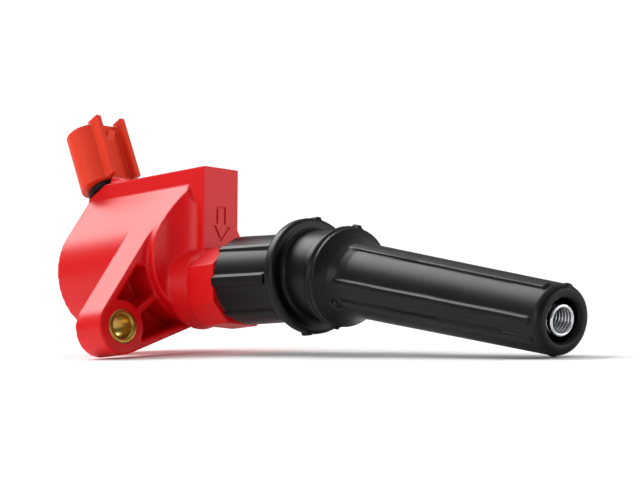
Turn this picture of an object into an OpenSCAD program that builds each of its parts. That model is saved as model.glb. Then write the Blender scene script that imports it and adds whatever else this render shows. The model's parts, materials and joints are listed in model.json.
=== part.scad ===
// Coil-on-plug ignition coil, lying at rest on its ear and boot tip.
// Coil axes: X runs along the boot, Y across the flat core slab, Z up the slab.

/* [Core slab] */
// Thickness of the slab that houses the yoke
slab_thick = 12.4; // [12:0.2:13]
// Height of the slab top above the boot axis
slab_top = 34.8; // [34:0.1:37]
// Length of the slab along the boot axis
slab_len = 54; // [53:0.5:56]
// Wall of the slab and the drum
wall = 1.6; // [1.4:0.1:2]

/* [Winding drum] */
// Outer radius of the drum around the windings
drum_r = 17.1; // [17:0.1:18]
// Height of the drum axis above the boot axis
drum_z = 9; // [8.5:0.1:9.5]
// Distance of the drum front behind the slab front
drum_front = 9; // [8.5:0.1:10]

/* [Mounting ear] */
// Sideways distance of the bolt hole from the boot axis
ear_y = 25.2; // [24:0.1:28]
// Drop of the bolt hole below the boot axis
ear_z = 11.5; // [10:0.1:12]
// Radius of the boss round the bolt hole
boss_r = 8; // [7.5:0.1:9]
// Thickness of the ear along the bolt
ear_thick = 11.4; // [10:0.1:13]
// Distance of the ear's front face behind the slab front
ear_front = 12; // [11:0.1:13]
// Bore of the brass bushing, clear of an M6 bolt
bolt_d = 6.4; // [6.2:0.1:6.6]
// Outer diameter of the brass bushing
bushing_d = 9.8; // [9:0.1:10.6]

/* [Boot] */
// Outer diameter of the sleeve over the tower
sleeve_d = 23.6; // [22.4:0.2:24]
// Outer diameter of the tower inside the sleeve
tower_d = 15; // [14:0.2:15.4]
// Outer diameter of the large flange
flange1_d = 31.8; // [30:0.2:33]
// Outer diameter of the small flange
flange2_d = 27.6; // [27:0.2:29]
// Position of the flex point in the neck, along the boot axis
neck_x = 46.5; // [46.4:0.1:47.5]
// Length of the lower boot from the flex point to the tip
lower_len = 91; // [84:1:94]
// Outer diameter of the lower boot at the tip
tip_d = 18.4; // [18:0.2:20]
// Bore for the spark plug insulator
plug_bore_d = 11.2; // [11:0.1:12]
// Droop of the lower boot at the neck, degrees
droop = 13; // [10:0.5:16]

/* [Connector] */
// Backward tilt of the connector, degrees
conn_tilt = 25; // [20:1:28]
// Length of the connector shroud
shroud_len = 17.4; // [15:0.2:19]
// Gap between the centre lines of the two guide rails
rail_gap = 8.9; // [8:0.1:10]

/* [Resting pose] */
// Rise of the boot axis from the housing towards the neck, degrees
rest_pitch = 4.85; // [0:0.05:12]
// Roll of the slab away from the ear side, degrees
rest_roll = 7.5; // [0:0.1:12]

/* [Hidden] */
$fn = 96;
half = slab_thick / 2;
core_half = half - wall + 0.1;
cavity_r = drum_r - wall;
ear_back = ear_front + ear_thick;
ear_reach = norm([ear_y, drum_z + ear_z]);
ear_dir = atan2(drum_z + ear_z, ear_y);
ear_open = asin((drum_r - boss_r) / ear_reach);
flank_tilt = ear_dir + ear_open;
graze = 0.02;
pocket_top = 6;
web_nose_r = 35.4;
web_fillet_r = 8;
shoulder_z = 3;
shoulder_back_r = 13.6;
shoulder_front_r = 10.6;
collar_half = 10.8;
collar_flat = 5.4;
collar_front = 10;
tower_front = 35.2;
tower_bore = 3.4;
core_side = 8;
core_front = 11.5;
core_back = slab_len - 10.5;
magnet_thick = 1.5;
yoke_front = 2.4;
yoke_back = slab_len - 6.5;
yoke_low = 5;
yoke_top = slab_top - wall - 0.2;
bobbin_front = 12.2;
bobbin_back = slab_len - 11.1;
primary_r = 6.7;
secondary_r = 9.5;
section_r = 14.2;
section_wall = 1;
wire_depth = 1.9;
diode_x = 7.9 - slab_len;
diode_y = 10;
diode_r = 1.4;
diode_len = 8;
lead_r = 0.7;
lead_z = -2;
cup_half = 1.5;
resistor_front = 25;
stud_r = 1.6;
stud_ball_r = 2.6;
tower_seal_len = 2;
tower_seal_drop = 1.5;
sections = 6;
resin_front = slab_len - 4.3;
lead_back = slab_len - 4.6;
lead_thick = 0.6;
conn_x = 3.3 - slab_len;
conn_z = 32.5;
port_r = 6;
port_bore = 4.2;
port_depth = 4.5;
port_reach = 8;
seat = 0.1;
seat_front = 7.6;
seat_room = 29;
seal_r = 6.4;
seal_section = 1.6;
seal_bore = 4.85;
shroud_r = 6.2;
shroud_off = 3;
shroud_base = 3.6;
shroud_wall = 1.3;
rail_w = 1.8;
rail_out = 4.6;
rail_back = 2.4;
rail_proud = 1.4;
nib_w = 2.4;
nib_len = 2.2;
nib_drop = 4;
socket_floor = 2;
blade_w = 1.5;
blade_thick = 0.7;
blade_slack = 0.05;
blade_up = 8;
blade_down = 3.2;
lead_low = 17;
lead_high = 30.5;
pin_half_gap = 2.6;
ball_r = 10.7;
ball_gap = 0.3;
ball_cut_angle = 146;
ball_end_angle = 62;
ball_step = 12;
neck_bore = 5.9;
plug_bore_at = 10;
flange1_x = 37;
flange1_thick = 4;
flange2_thick = 3.5;
flange2_at = 5.2;
lower_d = 20.2;
spring_d = 8.6;
spring_wire = 1.1;
rib_angles = [50, 100, 141, 219, 260, 310];
rib_w = 1.6;
rib_h = 0.7;

// Lays the coil down as it rests, with the bolt hole's front end at the origin.
module at_rest() {
    rotate([-rest_roll, 0, 0])
    rotate([0, -rest_pitch, 0])
    translate([ear_front, ear_y, ear_z])
    children();
}

// A round bar along X, from x = a to x = b.
module bar(a, b, r, y = 0, z = 0) {
    translate([a, y, z]) rotate([0, 90, 0]) cylinder(h = b - a, r = r);
}

// A block from one corner to the other.
module block(from, to) {
    translate(from) cube(to - from);
}

// An outline drawn in the Y-Z plane, extruded from x = a to x = b.
module slice(a, b) {
    translate([a, 0, 0])
    multmatrix([[0, 0, 1, 0], [1, 0, 0, 0], [0, 1, 0, 0], [0, 0, 0, 1]])
    linear_extrude(b - a) children();
}

// Drum with the flat flanks that run down to it on both sides. They start inside a slab of
// half-width w and end just inside the round, so that they cross both surfaces cleanly.
module drum(a, b, r, w) {
    flat_r = r - graze;
    t = [flat_r * sin(flank_tilt), drum_z + flat_r * cos(flank_tilt)];
    top = drum_z + flat_r / cos(flank_tilt) - w * tan(flank_tilt);
    bar(a, b, r, 0, drum_z);
    slice(a, b) polygon([[-t.x, t.y], [-w, top], [w, top], [t.x, t.y], [0, drum_z]]);
}

// Room for the windings: the drum's inside, closed off under the connector's seat.
module winding_room(a, b) {
    intersection() {
        drum(a, b, cavity_r, core_half - 1);
        block([a - 1, -2 * drum_r, -2 * drum_r], [b + 1, 2 * drum_r, seat_room]);
    }
}

// Ear plate: the tangent outline between the boss and the drum.
module ear_plate(a, b, inset = 0) {
    up = ear_dir + ear_open + 90;
    down = ear_dir - ear_open - 90;
    boss = [-ear_y, -ear_z];
    centre = [0, drum_z];
    in = inset + graze;
    slice(a, b) polygon([
        boss + (boss_r - in) * [cos(up), sin(up)],
        centre + (drum_r - in) * [cos(up), sin(up)],
        centre + (drum_r - in) * [cos(down), sin(down)],
        boss + (boss_r - in) * [cos(down), sin(down)]
    ]);
}

// The two cored pockets in the front of the ear, parted by one rib.
module ear_pockets() {
    depth = ear_thick - 2.4;
    difference() {
        ear_plate(-ear_front - depth, -ear_front + 1, 2);
        bar(-ear_back, -ear_front + 2, boss_r - 0.6, -ear_y, -ear_z);
        bar(-ear_back, -ear_front + 2, drum_r + 0.4, 0, drum_z);
        translate([-ear_back, -ear_y, -ear_z])
        rotate([ear_dir, 0, 0])
        block([0, 0, -1], [ear_thick + 2, ear_reach, 1]);
        block([-ear_back, -2 * drum_r, pocket_top], [0, 0, slab_top]);
    }
}

// Shoulder that runs from the drum front down to the collar.
module shoulder() {
    translate([-drum_front - 0.5, 0, shoulder_z])
    rotate([0, 90, 0])
    cylinder(h = drum_front + 0.2, r1 = shoulder_back_r, r2 = shoulder_front_r);
}

// Webs that fill between the drum front and the slab, hollowed to a curved valley.
module front_web() {
    reach = half + web_fillet_r - 0.3;
    difference() {
        intersection() {
            drum(-drum_front - 1, 0, drum_r, half - 1);
            translate([-web_nose_r - 0.4, 0, drum_z])
            rotate([90, 0, 0])
            cylinder(h = 4 * drum_r, r = web_nose_r, center = true);
            block([-drum_front - 1, -reach, 1], [0, reach, slab_top - 1]);
        }
        for (side = [-1, 1])
            translate([web_fillet_r - drum_front + 0.3, side * reach, 0])
            cylinder(h = 3 * slab_top, r = web_fillet_r, center = true);
    }
}

// Octagonal collar at the foot of the tower.
module collar(a, b) {
    h = collar_half;
    f = collar_flat;
    slice(a, b) polygon([
        [-h, -f], [-f, -h], [f, -h], [h, -f], [h, f], [f, h], [-f, h], [-h, f]
    ]);
}

// Places a child on the tilted connector axis.
module on_connector() {
    translate([conn_x, 0, conn_z]) rotate([0, -conn_tilt, 0]) children();
}

// Places a child on the drooping axis of the lower boot.
module on_lower_boot() {
    translate([neck_x, 0, 0]) rotate([0, droop, 0]) children();
}

module housing() {
    color([0.80, 0.08, 0.10])
    at_rest()
    difference() {
        union() {
            drum(-slab_len, -drum_front, drum_r, half - 1);
            block([-slab_len, -half, drum_z], [0, half, slab_top]);
            block([-drum_front, -half, 0], [0, half, drum_z + 1]);
            front_web();
            ear_plate(-ear_back, -ear_front);
            bar(-ear_back, -ear_front, boss_r, -ear_y, -ear_z);
            shoulder();
            collar(-1, collar_front);
            bar(0, tower_front, tower_d / 2);
            on_connector() translate([0, 0, -port_reach]) cylinder(h = port_reach + 1, r = port_r);
        }
        // sloping seat for the connector's seal
        on_connector() block([-2 * port_r, -2 * port_r, seat], [seat_front, 2 * port_r, slab_top]);
        // windings cavity, open at the back
        winding_room(-slab_len - 1, -drum_front - wall);
        // slot for the yoke
        block([-yoke_back - 1, -core_half, yoke_low - 0.1],
              [-yoke_front + 0.2, core_half, slab_top - wall]);
        block([-slab_len - port_r, -core_half, yoke_low - 0.1],
              [-yoke_back, core_half, seat_room]);
        bar(-core_front, tower_front + 1, tower_bore);
        bar(-ear_back - 1, -ear_front + 1, bushing_d / 2, -ear_y, -ear_z);
        ear_pockets();
        on_connector() translate([0, 0, -port_depth]) cylinder(h = 2 * port_depth, r = port_bore);
    }
}

module bushing() {
    color([0.78, 0.62, 0.24])
    at_rest()
    difference() {
        bar(-ear_back, -ear_front, bushing_d / 2, -ear_y, -ear_z);
        bar(-ear_back - 1, -ear_front + 1, bolt_d / 2, -ear_y, -ear_z);
    }
}

module potting_resin() {
    color([0.10, 0.10, 0.11])
    at_rest()
    difference() {
        union() {
            winding_room(-slab_len + 0.6, -resin_front);
            block([-slab_len + 0.6, -core_half, drum_z], [-resin_front, core_half, seat_room]);
        }
        on_connector() translate([0, 0, -3 * port_depth]) cylinder(h = 22, r = port_bore);
    }
}

module i_core() {
    color([0.45, 0.46, 0.48])
    at_rest()
    block([-core_back, -core_side / 2, drum_z - core_side / 2],
          [-core_front, core_side / 2, drum_z + core_side / 2]);
}

module magnet() {
    color([0.22, 0.22, 0.24])
    at_rest()
    block([-core_front, -core_side / 2, drum_z - core_side / 2],
          [-core_front + magnet_thick, core_side / 2, drum_z + core_side / 2]);
}

module yoke() {
    color([0.52, 0.53, 0.55])
    at_rest()
    difference() {
        block([-yoke_back, -core_side / 2, yoke_low], [-yoke_front, core_side / 2, yoke_top]);
        block([-core_back, -core_side, yoke_low - 1],
              [-core_front + magnet_thick, core_side, yoke_top - core_side]);
    }
}

module primary_bobbin() {
    color([0.88, 0.86, 0.80])
    at_rest()
    difference() {
        union() {
            bar(-bobbin_back, -bobbin_front, primary_r, 0, drum_z);
            bar(-bobbin_back, -bobbin_back + 1.2, secondary_r - 0.3, 0, drum_z);
            bar(-bobbin_front - 1.2, -bobbin_front, secondary_r - 0.3, 0, drum_z);
        }
        s = core_side / 2 + 0.1;
        block([-bobbin_back - 1, -s, drum_z - s], [-bobbin_front + 1, s, drum_z + s]);
    }
}

module primary_winding() {
    color([0.72, 0.38, 0.18])
    at_rest()
    difference() {
        bar(-bobbin_back + 1.3, -bobbin_front - 1.3, primary_r + wire_depth, 0, drum_z);
        bar(-bobbin_back, -bobbin_front, primary_r, 0, drum_z);
    }
}

// Start of each section of the high-voltage winding, along X.
section_pitch = (bobbin_back - bobbin_front - section_wall) / sections;
function section_start(i) = -bobbin_back + i * section_pitch;

module secondary_bobbin() {
    color([0.20, 0.21, 0.23])
    at_rest()
    difference() {
        union() {
            bar(-bobbin_back, -bobbin_front, secondary_r + 1, 0, drum_z);
            for (i = [0 : sections])
                bar(section_start(i), section_start(i) + section_wall, section_r, 0, drum_z);
        }
        bar(-bobbin_back - 1, -bobbin_front + 1, secondary_r, 0, drum_z);
    }
}

module secondary_winding() {
    color([0.66, 0.30, 0.14])
    at_rest()
    for (i = [0 : sections - 1])
        difference() {
            bar(section_start(i) + section_wall + 0.1, section_start(i + 1) - 0.1,
                section_r - 0.9, 0, drum_z);
            bar(-bobbin_back, -bobbin_front, secondary_r + 1, 0, drum_z);
        }
}

module flyback_diode() {
    color([0.15, 0.15, 0.16])
    at_rest()
    translate([diode_x, diode_y, drum_z]) {
        cylinder(h = diode_len, r = diode_r, center = true);
        cylinder(h = diode_len + 6, r = 0.4, center = true);
    }
}

module hv_lead() {
    color([0.75, 0.72, 0.60])
    at_rest()
    bar(-bobbin_front + 0.1, -cup_half, lead_r, 0, lead_z);
}

module hv_cup() {
    color([0.76, 0.66, 0.36])
    at_rest()
    bar(-cup_half, cup_half, tower_bore - 0.1);
}

module suppressor_resistor() {
    color([0.72, 0.66, 0.54])
    at_rest()
    bar(cup_half, resistor_front, tower_bore - 0.5);
}

module contact_stud() {
    color([0.75, 0.75, 0.77])
    at_rest() {
        bar(resistor_front, resistor_front + 2, tower_bore - 0.1);
        bar(resistor_front + 1.5, neck_x - 1, stud_r);
        translate([neck_x, 0, 0]) sphere(r = stud_ball_r);
    }
}

// Blade of one terminal, along the connector axis, with some slack all round.
module blade(side, from, to, slack = 0) {
    across = side * pin_half_gap;
    block([-blade_thick / 2 - slack, across - blade_w / 2 - slack, from],
          [blade_thick / 2 + slack, across + blade_w / 2 + slack, to]);
}

module connector_body() {
    color([0.92, 0.30, 0.20])
    at_rest()
    on_connector() {
        difference() {
            union() {
                for (side = [-1, 1])
                    translate([0, side * shroud_off, shroud_base])
                    cylinder(h = shroud_len, r = shroud_r);
                translate([-shroud_r, -shroud_off, shroud_base])
                cube([2 * shroud_r, 2 * shroud_off, shroud_len]);
                for (side = [-1, 1])
                    translate([shroud_r - rail_back, (side * rail_gap - rail_w) / 2, shroud_base])
                    cube([rail_out, rail_w, shroud_len + rail_proud]);
                translate([shroud_r - 1, -nib_w / 2, shroud_base + shroud_len - nib_drop])
                cube([rail_back, nib_w, nib_len]);
                translate([0, 0, -1]) cylinder(h = shroud_base + 1.5, r = port_bore - 0.1);
                translate([0, 0, seat + 0.1]) cylinder(h = shroud_base, r = seal_bore - 0.05);
            }
            for (side = [-1, 1])
                translate([0, side * shroud_off, shroud_base + socket_floor])
                cylinder(h = shroud_len, r = shroud_r - shroud_wall);
            translate([-shroud_r + shroud_wall, -shroud_off, shroud_base + socket_floor])
            cube([2 * (shroud_r - shroud_wall), 2 * shroud_off, shroud_len]);
            for (side = [-1, 1])
                blade(side, -port_depth, shroud_base + port_depth, blade_slack);
        }
    }
}

module connector_seal() {
    color([0.08, 0.08, 0.09])
    at_rest()
    on_connector()
    translate([0, 0, seat + 0.05])
    difference() {
        rotate_extrude() translate([seal_r, seal_section]) circle(r = seal_section, $fn = 48);
        cylinder(h = 9, r = seal_bore, center = true);
    }
}

// One blade terminal with its lead down beside the yoke.
module terminal(side) {
    color([0.74, 0.70, 0.52])
    at_rest() {
        on_connector() blade(side, -blade_down, shroud_base + blade_up);
        block([-lead_back, side * pin_half_gap - blade_w / 2, lead_low],
              [-lead_back + lead_thick, side * pin_half_gap + blade_w / 2, lead_high]);
    }
}

module terminal_supply() {
    terminal(-1);
}

module terminal_trigger() {
    terminal(1);
}

module tower_seal() {
    color([0.55, 0.20, 0.16])
    at_rest()
    difference() {
        bar(collar_front, collar_front + tower_seal_len, sleeve_d / 2 - tower_seal_drop);
        bar(collar_front - 1, collar_front + tower_seal_len + 1, tower_d / 2);
    }
}

module boot_upper() {
    color([0.07, 0.07, 0.08])
    at_rest()
    difference() {
        union() {
            bar(collar_front, flange1_x + 1, sleeve_d / 2);
            bar(flange1_x, flange1_x + flange1_thick, flange1_d / 2);
            for (a = rib_angles)
                rotate([a, 0, 0])
                block([collar_front, -rib_w / 2, sleeve_d / 2 - 1],
                      [flange1_x, rib_w / 2, sleeve_d / 2 + rib_h]);
        }
        bar(collar_front - 1, flange1_x, tower_d / 2);
        bar(collar_front - 1, collar_front + tower_seal_len, sleeve_d / 2 - tower_seal_drop);
        translate([neck_x, 0, 0]) sphere(r = ball_r + ball_gap);
    }
}

module boot_lower() {
    color([0.07, 0.07, 0.08])
    at_rest()
    on_lower_boot()
    union() {
        rotate([0, 90, 0])
        rotate([0, 0, 90])
        rotate_extrude()
        polygon(concat(
            [for (a = [ball_cut_angle : -ball_step : ball_end_angle])
                ball_r * [sin(a), cos(a)]],
            [
                [flange2_d / 2, flange2_at],
                [flange2_d / 2, flange2_at + flange2_thick],
                [lower_d / 2, flange2_at + flange2_thick],
                [tip_d / 2, lower_len],
                [plug_bore_d / 2, lower_len],
                [plug_bore_d / 2, plug_bore_at],
                [neck_bore, plug_bore_at]
            ]
        ));
        for (a = rib_angles)
            rotate([a, 0, 0])
            block([flange2_at + 1.5, -rib_w / 2, tip_d / 2 - 1],
                  [lower_len - 3, rib_w / 2, lower_d / 2 + rib_h - 0.3]);
    }
}

module contact_spring() {
    color([0.78, 0.79, 0.80])
    at_rest()
    on_lower_boot()
    difference() {
        bar(0, lower_len, spring_d / 2);
        bar(-1, lower_len + 1, spring_d / 2 - spring_wire);
    }
}

housing();
bushing();
potting_resin();
connector_body();
connector_seal();
terminal_supply();
terminal_trigger();
yoke();
i_core();
magnet();
primary_bobbin();
primary_winding();
secondary_bobbin();
secondary_winding();
flyback_diode();
hv_lead();
hv_cup();
suppressor_resistor();
contact_stud();
tower_seal();
boot_upper();
boot_lower();
contact_spring();
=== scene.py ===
import json
import math
import bpy
from mathutils import Matrix, Vector


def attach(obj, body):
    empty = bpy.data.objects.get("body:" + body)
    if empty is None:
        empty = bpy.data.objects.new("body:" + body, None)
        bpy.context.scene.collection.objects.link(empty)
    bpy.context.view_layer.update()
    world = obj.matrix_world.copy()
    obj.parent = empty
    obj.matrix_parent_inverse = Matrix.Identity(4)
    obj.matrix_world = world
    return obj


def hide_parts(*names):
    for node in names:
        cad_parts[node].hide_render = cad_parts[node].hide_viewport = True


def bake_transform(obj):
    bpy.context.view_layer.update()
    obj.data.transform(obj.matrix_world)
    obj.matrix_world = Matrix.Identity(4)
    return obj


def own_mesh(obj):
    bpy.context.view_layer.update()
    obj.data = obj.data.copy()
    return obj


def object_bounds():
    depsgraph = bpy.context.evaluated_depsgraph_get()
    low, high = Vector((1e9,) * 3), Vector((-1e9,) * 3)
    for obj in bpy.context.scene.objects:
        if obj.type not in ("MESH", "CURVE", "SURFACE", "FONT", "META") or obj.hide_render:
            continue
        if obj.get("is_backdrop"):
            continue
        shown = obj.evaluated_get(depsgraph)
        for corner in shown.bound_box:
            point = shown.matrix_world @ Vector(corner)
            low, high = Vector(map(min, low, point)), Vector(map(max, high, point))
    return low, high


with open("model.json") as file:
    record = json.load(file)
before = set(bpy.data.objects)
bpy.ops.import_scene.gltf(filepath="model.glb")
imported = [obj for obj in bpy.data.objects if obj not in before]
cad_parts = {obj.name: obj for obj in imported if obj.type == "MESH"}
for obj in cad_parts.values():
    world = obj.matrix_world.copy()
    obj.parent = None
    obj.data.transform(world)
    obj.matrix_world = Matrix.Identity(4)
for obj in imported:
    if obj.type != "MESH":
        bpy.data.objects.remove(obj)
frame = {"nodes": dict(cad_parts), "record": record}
cad_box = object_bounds()

# ---------------------------------------------------------------- the coil's own axes
# The coil lies tilted on its ear and its boot tip. Every piece is modelled in millimetres in
# the coil's own axes (X along the boot, Y across the slab, Z up the slab) and then laid down.
MM = 0.001
neck_x = 46.5
droop = math.radians(13)
mounts = {mount["name"]: mount for mount in frame["record"]["mounts"]}
joints = {joint["name"]: joint for joint in frame["record"]["behaviour"]["joints"]}
along = -Vector(mounts["mounting_hole"]["axis"])
across = Vector(joints["boot_flex"]["axis"])
neck = Vector(joints["boot_flex"]["pos_m"])
turn = Matrix((along, across, along.cross(across))).transposed().to_4x4()
lay = Matrix.Translation(neck - neck_x * MM * along) @ turn @ Matrix.Scale(MM, 4)
lower_axis = Matrix.Translation((neck_x, 0, 0)) @ Matrix.Rotation(droop, 4, "Y")

# ---------------------------------------------------------------- camera
# A long lens stands low, off the ear's side of the boot, and looks back up at the housing.
camera_at = lay @ Vector((691.5, -569.9, -115.4))
camera_ahead = (turn @ Vector((-0.7437, 0.653, 0.1433))).normalized()
camera_right = (turn @ Vector((0.6605, 0.7508, 0.0061))).normalized()
bpy.ops.object.camera_add()
camera = bpy.context.active_object
camera.name = "camera"
camera_up = camera_right.cross(camera_ahead).normalized()
camera.matrix_world = Matrix.Translation(camera_at) @ Matrix(
    (camera_right, camera_up, -camera_ahead)).transposed().to_4x4()
camera.data.sensor_width = 36
camera.data.lens = 180
camera.data.clip_start = 0.01
bpy.context.scene.camera = camera

# ---------------------------------------------------------------- housing
# Glass-filled plastic, moulded in red in one shot: slab, drum, ear, collar and tower.
# The shapes are drawn one by one, run together as one moulding and rounded at the edges.
half = 6.2
slab_top = 34.8
slab_back = -54.0
wall = 1.6
drum_r = 17.1
drum_z = 9.0
drum_front = -9.0
ear_y = -25.2
ear_z = -11.5
boss_r = 8.0
ear_front = -12.0
ear_back = -23.4
pocket_rim = 2.0
pocket_floor = 2.4
pocket_top = 6.2
rib_half = 0.9
flank = math.radians(55.4)
nose_r = 35.4
valley_r = 8.0
bushing_r = 4.9
collar_half = 10.8
collar_flat = 5.4
collar_len = 10.0
tower_r = 7.5
tower_len = 35.2
tower_bore_r = 3.4
slot_half = 4.7
slot_low = 4.9
port_r = 6.0
port_bore_r = 4.2
conn_tilt = math.radians(25)
conn_axis = Matrix.Translation((-50.7, 0, 32.5)) @ Matrix.Rotation(-conn_tilt, 4, "Y")
seat = 0.1
seat_room = 29.0
sideways = Matrix(((0, 1, 0, 0), (1, 0, 0, 0), (0, 0, 1, 0), (0, 0, 0, 1)))
stand_up = conn_axis @ Matrix.Rotation(-math.pi / 2, 4, "Y")
ear_to_drum = Matrix.Translation((0, ear_y, ear_z)) @ Matrix.Rotation(
    math.atan2(drum_z - ear_z, -ear_y), 4, "X")


def deselect():
    if bpy.context.mode != "OBJECT":
        bpy.ops.object.mode_set(mode="OBJECT")
    bpy.ops.object.select_all(action="DESELECT")


def named(name):
    piece = bpy.context.active_object
    piece.name = name
    bpy.ops.object.transform_apply(location=True, rotation=True, scale=True)
    return piece


def pick(piece):
    deselect()
    piece.select_set(True)
    bpy.context.view_layer.objects.active = piece


def finish_with(piece, kind, **settings):
    pick(piece)
    modifier = piece.modifiers.new(kind.title(), kind)
    for key, value in settings.items():
        setattr(modifier, key, value)
    bpy.ops.object.modifier_apply(modifier=modifier.name)


def place(piece, local=Matrix.Identity(4)):
    piece.data.transform(lay @ local)
    piece.data.update()


def smooth(piece, degrees=35):
    pick(piece)
    bpy.ops.object.shade_smooth_by_angle(angle=math.radians(degrees))


def block(name, low, high):
    deselect()
    centre = [(a + b) / 2 for a, b in zip(low, high)]
    size = [b - a for a, b in zip(low, high)]
    bpy.ops.mesh.primitive_cube_add(size=1, location=centre, scale=size)
    return named(name)


def rod(name, start, end, radius, y=0.0, z=0.0, sides=96):
    deselect()
    bpy.ops.mesh.primitive_cylinder_add(
        vertices=sides, radius=radius, depth=end - start,
        location=((start + end) / 2, y, z), rotation=(0, math.pi / 2, 0))
    return named(name)


# A section drawn as points, left in edit mode with everything selected.
def drawn(name, points, edges, faces):
    mesh = bpy.data.meshes.new(name)
    mesh.from_pydata(points, edges, faces)
    piece = bpy.data.objects.new(name, mesh)
    bpy.context.collection.objects.link(piece)
    pick(piece)
    bpy.ops.object.mode_set(mode="EDIT")
    bpy.ops.mesh.select_all(action="SELECT")
    return piece


def face_outward():
    bpy.ops.mesh.select_all(action="SELECT")
    bpy.ops.mesh.normals_make_consistent(inside=False)
    bpy.ops.object.mode_set(mode="OBJECT")


def outline(name, points, start, end):
    piece = drawn(name, [(start, y, z) for y, z in points], [], [range(len(points))])
    bpy.ops.mesh.extrude_region_move(TRANSFORM_OT_translate={"value": (end - start, 0, 0)})
    face_outward()
    return piece


def arc(centre, radius, start, end, steps):
    for i in range(steps + 1):
        angle = start + (end - start) * i / steps
        yield centre[0] + radius * math.cos(angle), centre[1] + radius * math.sin(angle)


def cut(piece, *tools, operation="DIFFERENCE"):
    for tool in tools:
        finish_with(piece, "BOOLEAN", operation=operation, solver="EXACT", object=tool)
        bpy.data.objects.remove(tool)
    return piece


def join(first, *others):
    deselect()
    for other in others:
        other.select_set(True)
    first.select_set(True)
    bpy.context.view_layer.objects.active = first
    bpy.ops.object.join()
    return first


def mould(piece, voxel, rounds, keep):
    finish_with(piece, "REMESH", mode="VOXEL", voxel_size=voxel, adaptivity=0)
    finish_with(piece, "SMOOTH", factor=0.5, iterations=rounds)
    finish_with(piece, "DECIMATE", ratio=keep)


def teardrop(radius, shoulder):
    top = drum_z + radius / math.cos(flank) - shoulder * math.tan(flank)
    points = [(shoulder, top), (-shoulder, top)]
    points += arc((0, drum_z), radius, math.pi / 2 + flank, 2.5 * math.pi - flank, 72)
    return points


def ear_outline(inset):
    reach = math.hypot(ear_y, drum_z - ear_z)
    heading = math.atan2(drum_z - ear_z, -ear_y)
    spread = math.asin((drum_r - boss_r) / reach)
    up = heading + spread + math.pi / 2
    down = heading - spread + 1.5 * math.pi
    points = list(arc((ear_y, ear_z), boss_r - inset, up, down, 40))
    points += arc((0, drum_z), drum_r - inset, down, up + 2 * math.pi, 8)
    return points


# The drum, the slab on top of it, and the nose between them.
housing = outline("housing_shell", teardrop(drum_r, half - 1), slab_back, drum_front)
slab = block("slab", (slab_back, -half, drum_z), (0, half, slab_top))
nose = block("nose", (drum_front - 1, -half, 0), (0, half, drum_z + 2))

# The ear, with two cored pockets that leave a rim, a boss and a rib.
ear = outline("ear", ear_outline(0), ear_back, ear_front)
pocket = outline("pocket", ear_outline(pocket_rim), ear_back + pocket_floor, ear_front + 1)
rib = block("rib", (ear_back, 0, -rib_half), (ear_front + 2, 40, rib_half))
rib.data.transform(ear_to_drum)
cut(pocket, rod("boss", ear_back, ear_front + 2, boss_r - 0.6, ear_y, ear_z),
    rod("drum_wall", ear_back, ear_front + 2, drum_r + 0.4, 0, drum_z),
    rib, block("above_pocket", (ear_back, -60, pocket_top), (ear_front + 2, 0, 60)))
cut(ear, pocket)

# The web runs from the drum's front to the slab's, rounded in front and hollowed at each side.
web = outline("web", teardrop(drum_r, half - 1), drum_front - 1, -0.2)
cut(web, block("web_top", (-20, -40, slab_top - 1), (5, 40, 60)))
nose_curve = rod("nose_curve", -60, 60, nose_r, sides=256)
nose_curve.data.transform(Matrix.Translation((-0.2 - nose_r, 0, drum_z)) @ Matrix.Rotation(
    math.pi / 2, 4, "Z"))
cut(web, nose_curve, operation="INTERSECT")
valley_y = half + valley_r - 0.2
for side in (-1, 1):
    valley = rod("valley", -60, 60, valley_r)
    valley.data.transform(Matrix.Translation((-1.0, side * valley_y, 0)) @ Matrix.Rotation(
        math.pi / 2, 4, "Y"))
    beyond = block("beyond", (drum_front, valley_y, -40), (5, valley_y + 60, 60))
    if side < 0:
        beyond.data.transform(Matrix.Rotation(math.pi, 4, "X"))
    cut(web, valley, beyond)

# The octagonal collar, the shoulder behind it, and the tower that carries the boot.
h, f = collar_half, collar_flat
collar_points = [(-h, -f), (-f, -h), (f, -h), (h, -f), (h, f), (f, h), (-f, h), (-h, f)]
collar = outline("collar", collar_points, -1, collar_len)
deselect()
bpy.ops.mesh.primitive_cone_add(vertices=96, radius1=12.4, radius2=10.4, depth=9.2,
                                location=(-4.9, 0, 1.7), rotation=(0, math.pi / 2, 0))
shoulder = named("shoulder")
tower = rod("tower", 0, tower_len, tower_r)

# The port for the connector, its sloped seat, and the gusset in front of it.
port = rod("port", -8, 1, port_r)
port.data.transform(stand_up)
for under in (slab, port):
    above_seat = block("above_seat", (-14, -14, seat), (7.6, 14, 40))
    above_seat.data.transform(conn_axis)
    cut(under, above_seat)
gusset = outline("gusset", [(-44.8, 33), (-44.8, 36.4), (-44.0, 36.9), (-34, 34.7), (-34, 33)],
                 -5.2, 5.2)
gusset.data.transform(sideways)
join(housing, slab, nose, ear, web, shoulder, collar, tower, port, gusset)
mould(housing, 0.36, 4, 0.5)

# The winding room, the slots for the yoke and the leads, and the bores.
winding_room = outline("winding_room", teardrop(drum_r - wall, 3.7), slab_back - 1,
                       drum_front - wall)
cut(winding_room, block("under_seat", (slab_back - 2, -30, seat_room), (0, 30, 60)))
port_bore = rod("port_bore", -4.5, 4.5, port_bore_r)
port_bore.data.transform(stand_up)
cut(housing, winding_room,
    block("yoke_slot", (-48.5, -slot_half, slot_low), (-2.2, slot_half, slab_top - wall)),
    block("lead_slot", (slab_back - port_r, -slot_half, slot_low), (-47.5, slot_half, seat_room)),
    rod("tower_bore", -11.5, 40, tower_bore_r),
    rod("bushing_hole", ear_back - 1, ear_front + 1, bushing_r, ear_y, ear_z),
    port_bore)


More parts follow.
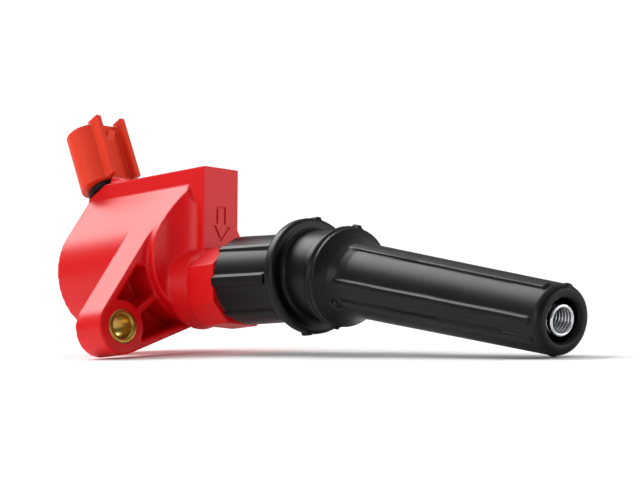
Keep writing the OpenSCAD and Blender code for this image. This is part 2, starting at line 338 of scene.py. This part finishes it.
# A plain outlined arrow, sunk into the slab's front.
def arrow(name, inset):
    shaft, head, neck_z = 1.7 - inset, 3.4 - 2.2 * inset, 18.0 + inset
    points = [(-shaft, 23.6 - inset), (-shaft, neck_z), (-head, neck_z), (0, 13.6 + 1.7 * inset)]
    return outline(name, points + [(-y, z) for y, z in reversed(points[:3])], -0.4, 1)


mark = arrow("mark", 0)
cut(mark, arrow("mark_field", 0.6))
cut(housing, mark)
smooth(housing, 40)
place(housing)
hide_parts("housing")
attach(housing, "coil")


def linear(code):
    channels = [int(code[i:i + 2], 16) / 255 for i in (1, 3, 5)]
    return [c / 12.92 if c <= 0.04045 else ((c + 0.055) / 1.055) ** 2.4 for c in channels] + [1]


def add(tree, kind, inputs, **settings):
    node = tree.nodes.new(kind)
    for key, value in settings.items():
        setattr(node, key, value)
    for key, value in inputs.items():
        if isinstance(value, bpy.types.NodeSocket):
            tree.links.new(value, node.inputs[key])
        else:
            node.inputs[key].default_value = value
    return node


def blank(name):
    material = bpy.data.materials.new(name)
    material.use_nodes = True
    material.node_tree.nodes.clear()
    return material, material.node_tree


def wear(piece, material):
    piece.data.materials.clear()
    piece.data.materials.append(material)
    for polygon in piece.data.polygons:
        polygon.material_index = 0


def per_metre(millimetres):
    return 1 / (millimetres * MM)


# Moulded thermoplastic: a slight cloudiness of the pigment, and the mould's spark-eroded grain.
def moulded_plastic(name, pigment, cloud, roughness, grain_mm, grain_depth):
    material, tree = blank(name)
    where = add(tree, "ShaderNodeTexCoord", {}).outputs["Object"]
    cloudy = add(tree, "ShaderNodeTexNoise", {"Vector": where, "Scale": per_metre(9), "Detail": 3})
    colour = add(tree, "ShaderNodeMix", {0: cloudy.outputs["Fac"], 6: linear(pigment),
                                         7: linear(cloud)}, data_type="RGBA")
    grain = add(tree, "ShaderNodeTexNoise", {"Vector": where, "Scale": per_metre(grain_mm),
                                             "Detail": 2})
    gloss = add(tree, "ShaderNodeMapRange", {"Value": cloudy.outputs["Fac"], "To Min": roughness,
                                             "To Max": roughness + 0.07})
    bump = add(tree, "ShaderNodeBump", {"Height": grain.outputs["Fac"], "Strength": 0.35,
                                        "Distance": grain_depth * MM})
    shader = add(tree, "ShaderNodeBsdfPrincipled", {
        "Base Color": colour.outputs[2], "Roughness": gloss.outputs["Result"], "IOR": 1.54,
        "Specular IOR Level": 0.22, "Normal": bump.outputs["Normal"]})
    add(tree, "ShaderNodeOutputMaterial", {"Surface": shader.outputs["BSDF"]})
    return material


red_plastic = moulded_plastic("red_glass_filled_nylon", "#dc0b11", "#ce080d", 0.36, 0.5, 0.02)
wear(housing, red_plastic)

# ---------------------------------------------------------------- mounting bushing
# Turned brass, pressed into the ear. It carries the bolt's clamping load past the plastic.
def spun(name, profile, steps=96):
    edges = [(i, (i + 1) % len(profile)) for i in range(len(profile))]
    piece = drawn(name, [(x, 0, r) for x, r in profile], edges, [])
    bpy.ops.mesh.spin(steps=steps, angle=2 * math.pi, center=(0, 0, 0), axis=(1, 0, 0))
    bpy.ops.mesh.select_all(action="SELECT")
    bpy.ops.mesh.remove_doubles(threshold=0.001)
    face_outward()
    return piece


bolt_r = 3.2
bushing = spun("mounting_bushing", [
    (ear_back, bolt_r + 0.3), (ear_back, bushing_r - 0.3), (ear_back + 0.3, bushing_r),
    (ear_front - 0.1, bushing_r), (ear_front + 0.25, bushing_r - 0.25),
    (ear_front + 0.25, bolt_r + 0.55), (ear_front - 0.3, bolt_r), (ear_back + 0.3, bolt_r)])
finish_with(bushing, "BEVEL", width=0.12, segments=2, limit_method="ANGLE",
            angle_limit=math.radians(20))
smooth(bushing)
place(bushing, Matrix.Translation((0, ear_y, ear_z)))
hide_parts("bushing")
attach(bushing, "coil")


# Turned or drawn metal: fine tool marks run round the axis, so they are bands along it.
def metal(name, tint, shade, roughness, mark_mm, mark_depth):
    material, tree = blank(name)
    where = add(tree, "ShaderNodeTexCoord", {}).outputs["Object"]
    turned = add(tree, "ShaderNodeMapping", {"Vector": where,
                                             "Rotation": turn.to_3x3().inverted().to_euler()})
    marks = add(tree, "ShaderNodeTexNoise", {
        "Vector": turned.outputs["Vector"], "Scale": per_metre(mark_mm), "Detail": 2})
    tarnish = add(tree, "ShaderNodeTexNoise", {"Vector": where, "Scale": per_metre(3), "Detail": 4})
    colour = add(tree, "ShaderNodeMix", {0: tarnish.outputs["Fac"], 6: linear(tint),
                                         7: linear(shade)}, data_type="RGBA")
    bump = add(tree, "ShaderNodeBump", {"Height": marks.outputs["Fac"], "Strength": 0.3,
                                        "Distance": mark_depth * MM})
    shader = add(tree, "ShaderNodeBsdfPrincipled", {
        "Base Color": colour.outputs[2], "Metallic": 1.0, "Roughness": roughness,
        "Normal": bump.outputs["Normal"]})
    add(tree, "ShaderNodeOutputMaterial", {"Surface": shader.outputs["BSDF"]})
    return material


brass = metal("turned_brass", "#c2a14e", "#8f7230", 0.3, 0.3, 0.01)
wear(bushing, brass)

# ---------------------------------------------------------------- connector
# Orange-red moulded shroud with two guide rails, a latch nib and a round spigot in the port.
shroud_r = 6.2
shroud_off = 3.0
shroud_base = 2.4
shroud_top = 21.0
shroud_wall = 1.3
rail_y = 4.45
rail_half = 0.9
blade_y = 2.6


def stadium(name, radius, start, end):
    points = list(arc((shroud_off, 0), radius, -math.pi / 2, math.pi / 2, 28))
    points += arc((-shroud_off, 0), radius, math.pi / 2, 1.5 * math.pi, 28)
    return outline(name, points, start, end)


connector = stadium("connector_shell", shroud_r, shroud_base, shroud_top)
spigot = rod("spigot", -1, shroud_base + 1, 4.1)
step = rod("step", seat + 0.1, shroud_base + 1, 4.7)
parts = [spigot, step]
for side in (-1, 1):
    parts.append(block("rail", (shroud_base, side * rail_y - rail_half, -8.8),
                       (shroud_top + 1.5, side * rail_y + rail_half, -3.5)))
nib = outline("nib", [(shroud_top - 5.6, -5.8), (shroud_top - 2.8, -8.0),
                      (shroud_top - 2.4, -5.8)], -1.5, 1.5)
nib.data.transform(sideways)
parts.append(nib)
join(connector, *parts)
finish_with(connector, "REMESH", mode="VOXEL", voxel_size=0.2, adaptivity=0)
cut(connector, stadium("socket", shroud_r - shroud_wall, shroud_base + 2, shroud_top + 6))
for side in (-1, 1):
    cut(connector, block("blade_slot", (-5, side * blade_y - 0.8, -0.4),
                         (10, side * blade_y + 0.8, 0.4)))
finish_with(connector, "REMESH", mode="VOXEL", voxel_size=0.2, adaptivity=0)
finish_with(connector, "SMOOTH", factor=0.5, iterations=3)
finish_with(connector, "DECIMATE", ratio=0.45)
smooth(connector, 40)
place(connector, stand_up)
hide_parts("connector_body")
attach(connector, "coil")
wear(connector, moulded_plastic("orange_red_pbt", "#e63f22", "#dc371c", 0.36, 0.4, 0.02))

# ---------------------------------------------------------------- connector seal
# Black rubber ring at the foot of the connector, with two lips that press on the port.
seal = spun("connector_seal_ring", [(0.2, 4.75), (0.2, 6.2), (0.45, 6.8), (0.8, 6.8), (1.15, 6.4),
                                    (1.5, 6.8), (1.9, 6.8), (2.3, 6.2), (2.3, 4.75)])
finish_with(seal, "BEVEL", width=0.15, segments=3, limit_method="ANGLE",
            angle_limit=math.radians(20))
smooth(seal)
place(seal, stand_up)
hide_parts("connector_seal")
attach(seal, "coil")


# Compression-moulded rubber: deep black with a soft sheen, a little bloom and a fine grain.
def moulded_rubber(name, base, bloom, roughness, grain_mm, grain_depth):
    material, tree = blank(name)
    where = add(tree, "ShaderNodeTexCoord", {}).outputs["Object"]
    patch = add(tree, "ShaderNodeTexNoise", {"Vector": where, "Scale": per_metre(14), "Detail": 5})
    colour = add(tree, "ShaderNodeMix", {0: patch.outputs["Fac"], 6: linear(base),
                                         7: linear(bloom)}, data_type="RGBA")
    gloss = add(tree, "ShaderNodeMapRange", {"Value": patch.outputs["Fac"], "To Min": roughness,
                                             "To Max": roughness + 0.12})
    grain = add(tree, "ShaderNodeTexNoise", {"Vector": where, "Scale": per_metre(grain_mm),
                                             "Detail": 3})
    bump = add(tree, "ShaderNodeBump", {"Height": grain.outputs["Fac"], "Strength": 0.4,
                                        "Distance": grain_depth * MM})
    shader = add(tree, "ShaderNodeBsdfPrincipled", {
        "Base Color": colour.outputs[2], "Roughness": gloss.outputs["Result"], "IOR": 1.5,
        "Specular IOR Level": 0.18, "Normal": bump.outputs["Normal"]})
    add(tree, "ShaderNodeOutputMaterial", {"Surface": shader.outputs["BSDF"]})
    return material


rubber = moulded_rubber("black_silicone_rubber", "#030304", "#070708", 0.32, 0.6, 0.02)
wear(seal, rubber)

# ---------------------------------------------------------------- boot
# One moulded rubber boot: sleeve, sealing flange, flexible neck, small flange and barrel.
# The section is spun round the axis, the ribs are drawn out of it, and the neck is bent.
lower_len = 91.0
tip = neck_x + lower_len
sleeve_start = 11.6
sleeve_end = 36.0
sleeve_bore_r = 9.4
plug_bore_r = 5.6
neck_bore_r = 6.2
boot = spun("boot", [
    (sleeve_start, sleeve_bore_r), (sleeve_start, 11.9), (12.1, 12.4), (36.2, 12.1),
    (36.8, 12.5), (37.0, 14.9), (37.5, 15.7), (38.3, 15.9), (39.9, 15.9), (40.7, 15.7), (41.0, 15.1), (41.0, 12.9),
    (41.6, 12.3), (43.0, 12.2), (49.6, 12.2), (51.2, 12.4), (51.7, 13.2), (52.4, 13.8),
    (53.2, 13.8), (53.8, 13.3), (54.2, 13.3), (54.9, 13.6), (55.4, 13.1), (56.6, 12.2),
    (58.4, 11.2), (60.8, 10.4), (63.6, 10.05), (tip - 30, 9.5), (tip - 1.8, 9.2),
    (tip - 0.6, 8.8), (tip, 8.0), (tip, 6.3), (tip - 0.9, plug_bore_r), (62.0, plug_bore_r),
    (61.0, neck_bore_r), (sleeve_end, neck_bore_r), (sleeve_end, sleeve_bore_r)], steps=144)


def rib(start, end, lean, width, inner, outer, taper=0.0):
    section = [(start, inner), (start, outer), (end, outer - taper), (end, inner - taper)]
    bar = outline("rib", section, -width / 2, width / 2)
    bar.data.transform(Matrix.Rotation(math.radians(lean), 4, "X") @ sideways)
    return bar


# Three bars a side on the sleeve and three on the barrel, which taper towards the tip.
ribs = []
for side in (-1, 1):
    ribs.append(rib(11.5, 33.4, 97 * side, 2.9, 11.0, 13.1))
    for lean in (50, 144):
        ribs.append(rib(11.5, 33.4, lean * side, 1.9, 11.0, 12.9))
    ribs.append(rib(60.5, tip - 3, 32 * side, 2.6, 8.6, 10.65, 0.85))
    for lean in (98, 129):
        ribs.append(rib(60.5, tip - 3, lean * side, 1.7, 8.6, 10.7, 0.85))
# The mould's parting line leaves nubs on both flanges and on the tip.
for lean in (-5, 175):
    ribs.append(rib(37.4, 40.6, lean, 1.5, 14.5, 16.5))
    ribs.append(rib(52.1, 54.6, lean, 1.5, 12.5, 14.4))
    ribs.append(rib(tip - 1.9, tip - 0.5, lean, 1.6, 7.5, 9.5))
for side in (-1, 1):
    deselect()
    bpy.ops.mesh.primitive_uv_sphere_add(segments=24, ring_count=12, radius=1.8)
    knob = named("knob")
    knob.data.transform(Matrix.Rotation(math.radians(132 * side), 4, "X")
                        @ Matrix.Translation((60.4, 0, 10.3)))
    ribs.append(knob)
join(boot, *ribs)
mould(boot, 0.34, 3, 0.45)

# The sleeve's start sits a little high on the tower, and the neck droops in a short arc.
lift = 1.4
for vertex in boot.data.vertices:
    vertex.co.z += lift * min(max((sleeve_end - vertex.co.x) / (sleeve_end - sleeve_start), 0), 1)
bend_len = 10.0
bend_r = bend_len / droop


def bent(point):
    run = point.x - (neck_x - bend_len / 2)
    angle = min(max(run / bend_len, 0), 1) * droop
    past = max(run - bend_len, 0) + min(run, 0)
    x = neck_x - bend_len / 2 + bend_r * math.sin(angle) + past * math.cos(angle)
    z = -bend_r * (1 - math.cos(angle)) - past * math.sin(angle)
    return Vector((x + point.z * math.sin(angle), point.y, z + point.z * math.cos(angle)))


for vertex in boot.data.vertices:
    vertex.co = bent(vertex.co)
smooth(boot, 40)
place(boot)
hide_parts("boot_upper", "boot_lower")
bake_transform(boot)
wear(boot, rubber)

# ---------------------------------------------------------------- contact spring
# Bright steel wire, wound with closed end coils. It presses on the plug's terminal.
wire = 1.1
mean_r = 3.75
closed_turns = 9
open_turns = 20
per_turn = 18
total_turns = 2 * closed_turns + open_turns
run_start = 3.0
run_end = lower_len - 0.5
closed_pitch = wire * 1.02
open_pitch = (run_end - run_start - wire - 2 * closed_turns * closed_pitch) / open_turns


def on_coil(x, turn_no):
    around = 2 * math.pi * turn_no
    return x, mean_r * math.cos(around), mean_r * math.sin(around)


points = []
for i in range(total_turns * per_turn + 1):
    turn_no = i / per_turn
    ends = min(turn_no, closed_turns) + max(0, turn_no - closed_turns - open_turns)
    middle = min(max(turn_no - closed_turns, 0), open_turns)
    x = run_start + wire / 2 + ends * closed_pitch + middle * open_pitch
    points.append(on_coil(x, turn_no))
points += [on_coil(x, total_turns + i / per_turn) for i in range(1, per_turn)]
curve = bpy.data.curves.new("contact_spring_wire", "CURVE")
curve.dimensions = "3D"
spline = curve.splines.new("POLY")
spline.points.add(len(points) - 1)
for knot, point in zip(spline.points, points):
    knot.co = (*point, 1)
curve.bevel_depth = wire / 2
curve.bevel_resolution = 3
curve.use_fill_caps = True
spring = bpy.data.objects.new("contact_spring_wire", curve)
bpy.context.collection.objects.link(spring)
pick(spring)
bpy.ops.object.convert(target="MESH")
spring = bpy.context.active_object
smooth(spring, 50)
place(spring, lower_axis)
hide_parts("contact_spring")
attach(spring, "spring")
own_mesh(spring)
wear(spring, metal("drawn_spring_steel", "#d4d6d9", "#b6b9bd", 0.2, 0.25, 0.004))

# ---------------------------------------------------------------- back of the housing
# Black epoxy, poured in at the back over the windings. It has set with a slight meniscus.
resin = frame["nodes"]["potting_resin"]
wear(resin, moulded_rubber("cast_epoxy", "#0a0a0b", "#121214", 0.16, 4.0, 0.08))

# ---------------------------------------------------------------- pieces sealed inside
# Steel laminations, magnet, bobbins, enamelled copper and the tower's contact pieces.
inside = {
    "yoke": metal("silicon_steel_laminations", "#8b8d92", "#6f7176", 0.42, 0.5, 0.05),
    "magnet": metal("nickel_plated_magnet", "#9a9a9e", "#84848a", 0.3, 0.4, 0.01),
    "primary_winding": metal("enamelled_copper", "#b3552a", "#93401c", 0.3, 0.4, 0.1),
    "secondary_winding": metal("fine_enamelled_copper", "#a04a20", "#843717", 0.33, 0.2, 0.05),
    "terminal_supply": metal("tin_plated_brass", "#cfc7a0", "#b3a878", 0.25, 0.3, 0.01),
    "contact_stud": metal("turned_aluminium", "#c9cacc", "#aeb0b3", 0.3, 0.25, 0.01),
    "primary_bobbin": moulded_plastic("natural_pbt", "#e0dccd", "#d5d0be", 0.4, 0.4, 0.02),
    "secondary_bobbin": moulded_plastic("black_ppe", "#1c1d20", "#26272a", 0.42, 0.4, 0.02),
    "flyback_diode": moulded_plastic("moulded_epoxy", "#131315", "#1b1b1e", 0.45, 0.3, 0.02),
    "suppressor_resistor": moulded_plastic("glazed_ceramic", "#cdb98c", "#bda778", 0.25, 0.6,
                                           0.02),
    "tower_seal": moulded_rubber("red_silicone", "#8a2a1f", "#7a2219", 0.4, 0.5, 0.02),
}
inside["i_core"] = inside["yoke"]
inside["terminal_trigger"] = inside["terminal_supply"]
inside["hv_lead"] = inside["terminal_supply"]
inside["hv_cup"] = brass
for node_name, material in inside.items():
    wear(frame["nodes"][node_name], material)

# ---------------------------------------------------------------- floor and light
# A white seamless floor under the ear and the boot tip. One broad light hangs overhead at the
# back, with a soft box at the boot's far side, a fill at the ear's side and a pale room.
floor_z = cad_box[0][2] - 0.2 * MM
deselect()
bpy.ops.mesh.primitive_plane_add(size=60, location=(0, 0, floor_z))
floor = bpy.context.active_object
floor.name = "floor"
material, tree = blank("white_paper_sweep")
shader = add(tree, "ShaderNodeBsdfPrincipled", {
    "Base Color": linear("#fdfdfd"), "Roughness": 0.8, "Specular IOR Level": 0.1})
add(tree, "ShaderNodeOutputMaterial", {"Surface": shader.outputs["BSDF"]})
wear(floor, material)
floor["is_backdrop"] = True
aim = lay @ Vector((10, 0, 5))


def hang(name, light, direction, distance):
    lamp = bpy.data.objects.new(name, light)
    bpy.context.collection.objects.link(lamp)
    toward = (turn @ Vector(direction)).normalized()
    lamp.location = aim + toward * distance
    lamp.rotation_euler = toward.to_track_quat("Z", "Y").to_euler()


def soft_box(name, direction, distance, side, power):
    light = bpy.data.lights.new(name, "AREA")
    light.shape = "SQUARE"
    light.size = side
    light.energy = power
    hang(name, light, direction, distance)


overhead = bpy.data.lights.new("overhead_silk", "SUN")
overhead.energy = 2.5
overhead.angle = math.radians(36)
hang("overhead_silk", overhead, (-0.66, -0.16, 0.74), 2)
soft_box("side_far_right", (0.80, 0.58, 0.12), 0.8, 0.5, 2.9)
soft_box("fill_near_left", (-0.12, -0.97, 0.1), 1.0, 0.4, 2.9)

# The room is dark at the foot and brighter overhead, and white where it is looked at directly.
world = bpy.data.worlds.new("studio")
world.use_nodes = True
tree = world.node_tree
tree.nodes.clear()
seen = add(tree, "ShaderNodeLightPath", {}).outputs["Is Camera Ray"]
up = add(tree, "ShaderNodeSeparateXYZ", {
    "Vector": add(tree, "ShaderNodeTexCoord", {}).outputs["Generated"]}).outputs["Z"]
glow = add(tree, "ShaderNodeMapRange", {"Value": up, "From Min": 0.05, "From Max": 0.9,
                                        "To Min": 0.08, "To Max": 0.7})
strength = add(tree, "ShaderNodeMix", {0: seen, 2: glow.outputs["Result"], 3: 1.05})
sky = add(tree, "ShaderNodeBackground", {"Color": (1, 1, 1, 1), "Strength": strength.outputs[0]})
add(tree, "ShaderNodeOutputWorld", {"Surface": sky.outputs["Background"]})
bpy.context.scene.world = world
bpy.context.scene.view_settings.view_transform = "Standard"

[[list(corner) for corner in box] for box in (cad_box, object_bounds())]
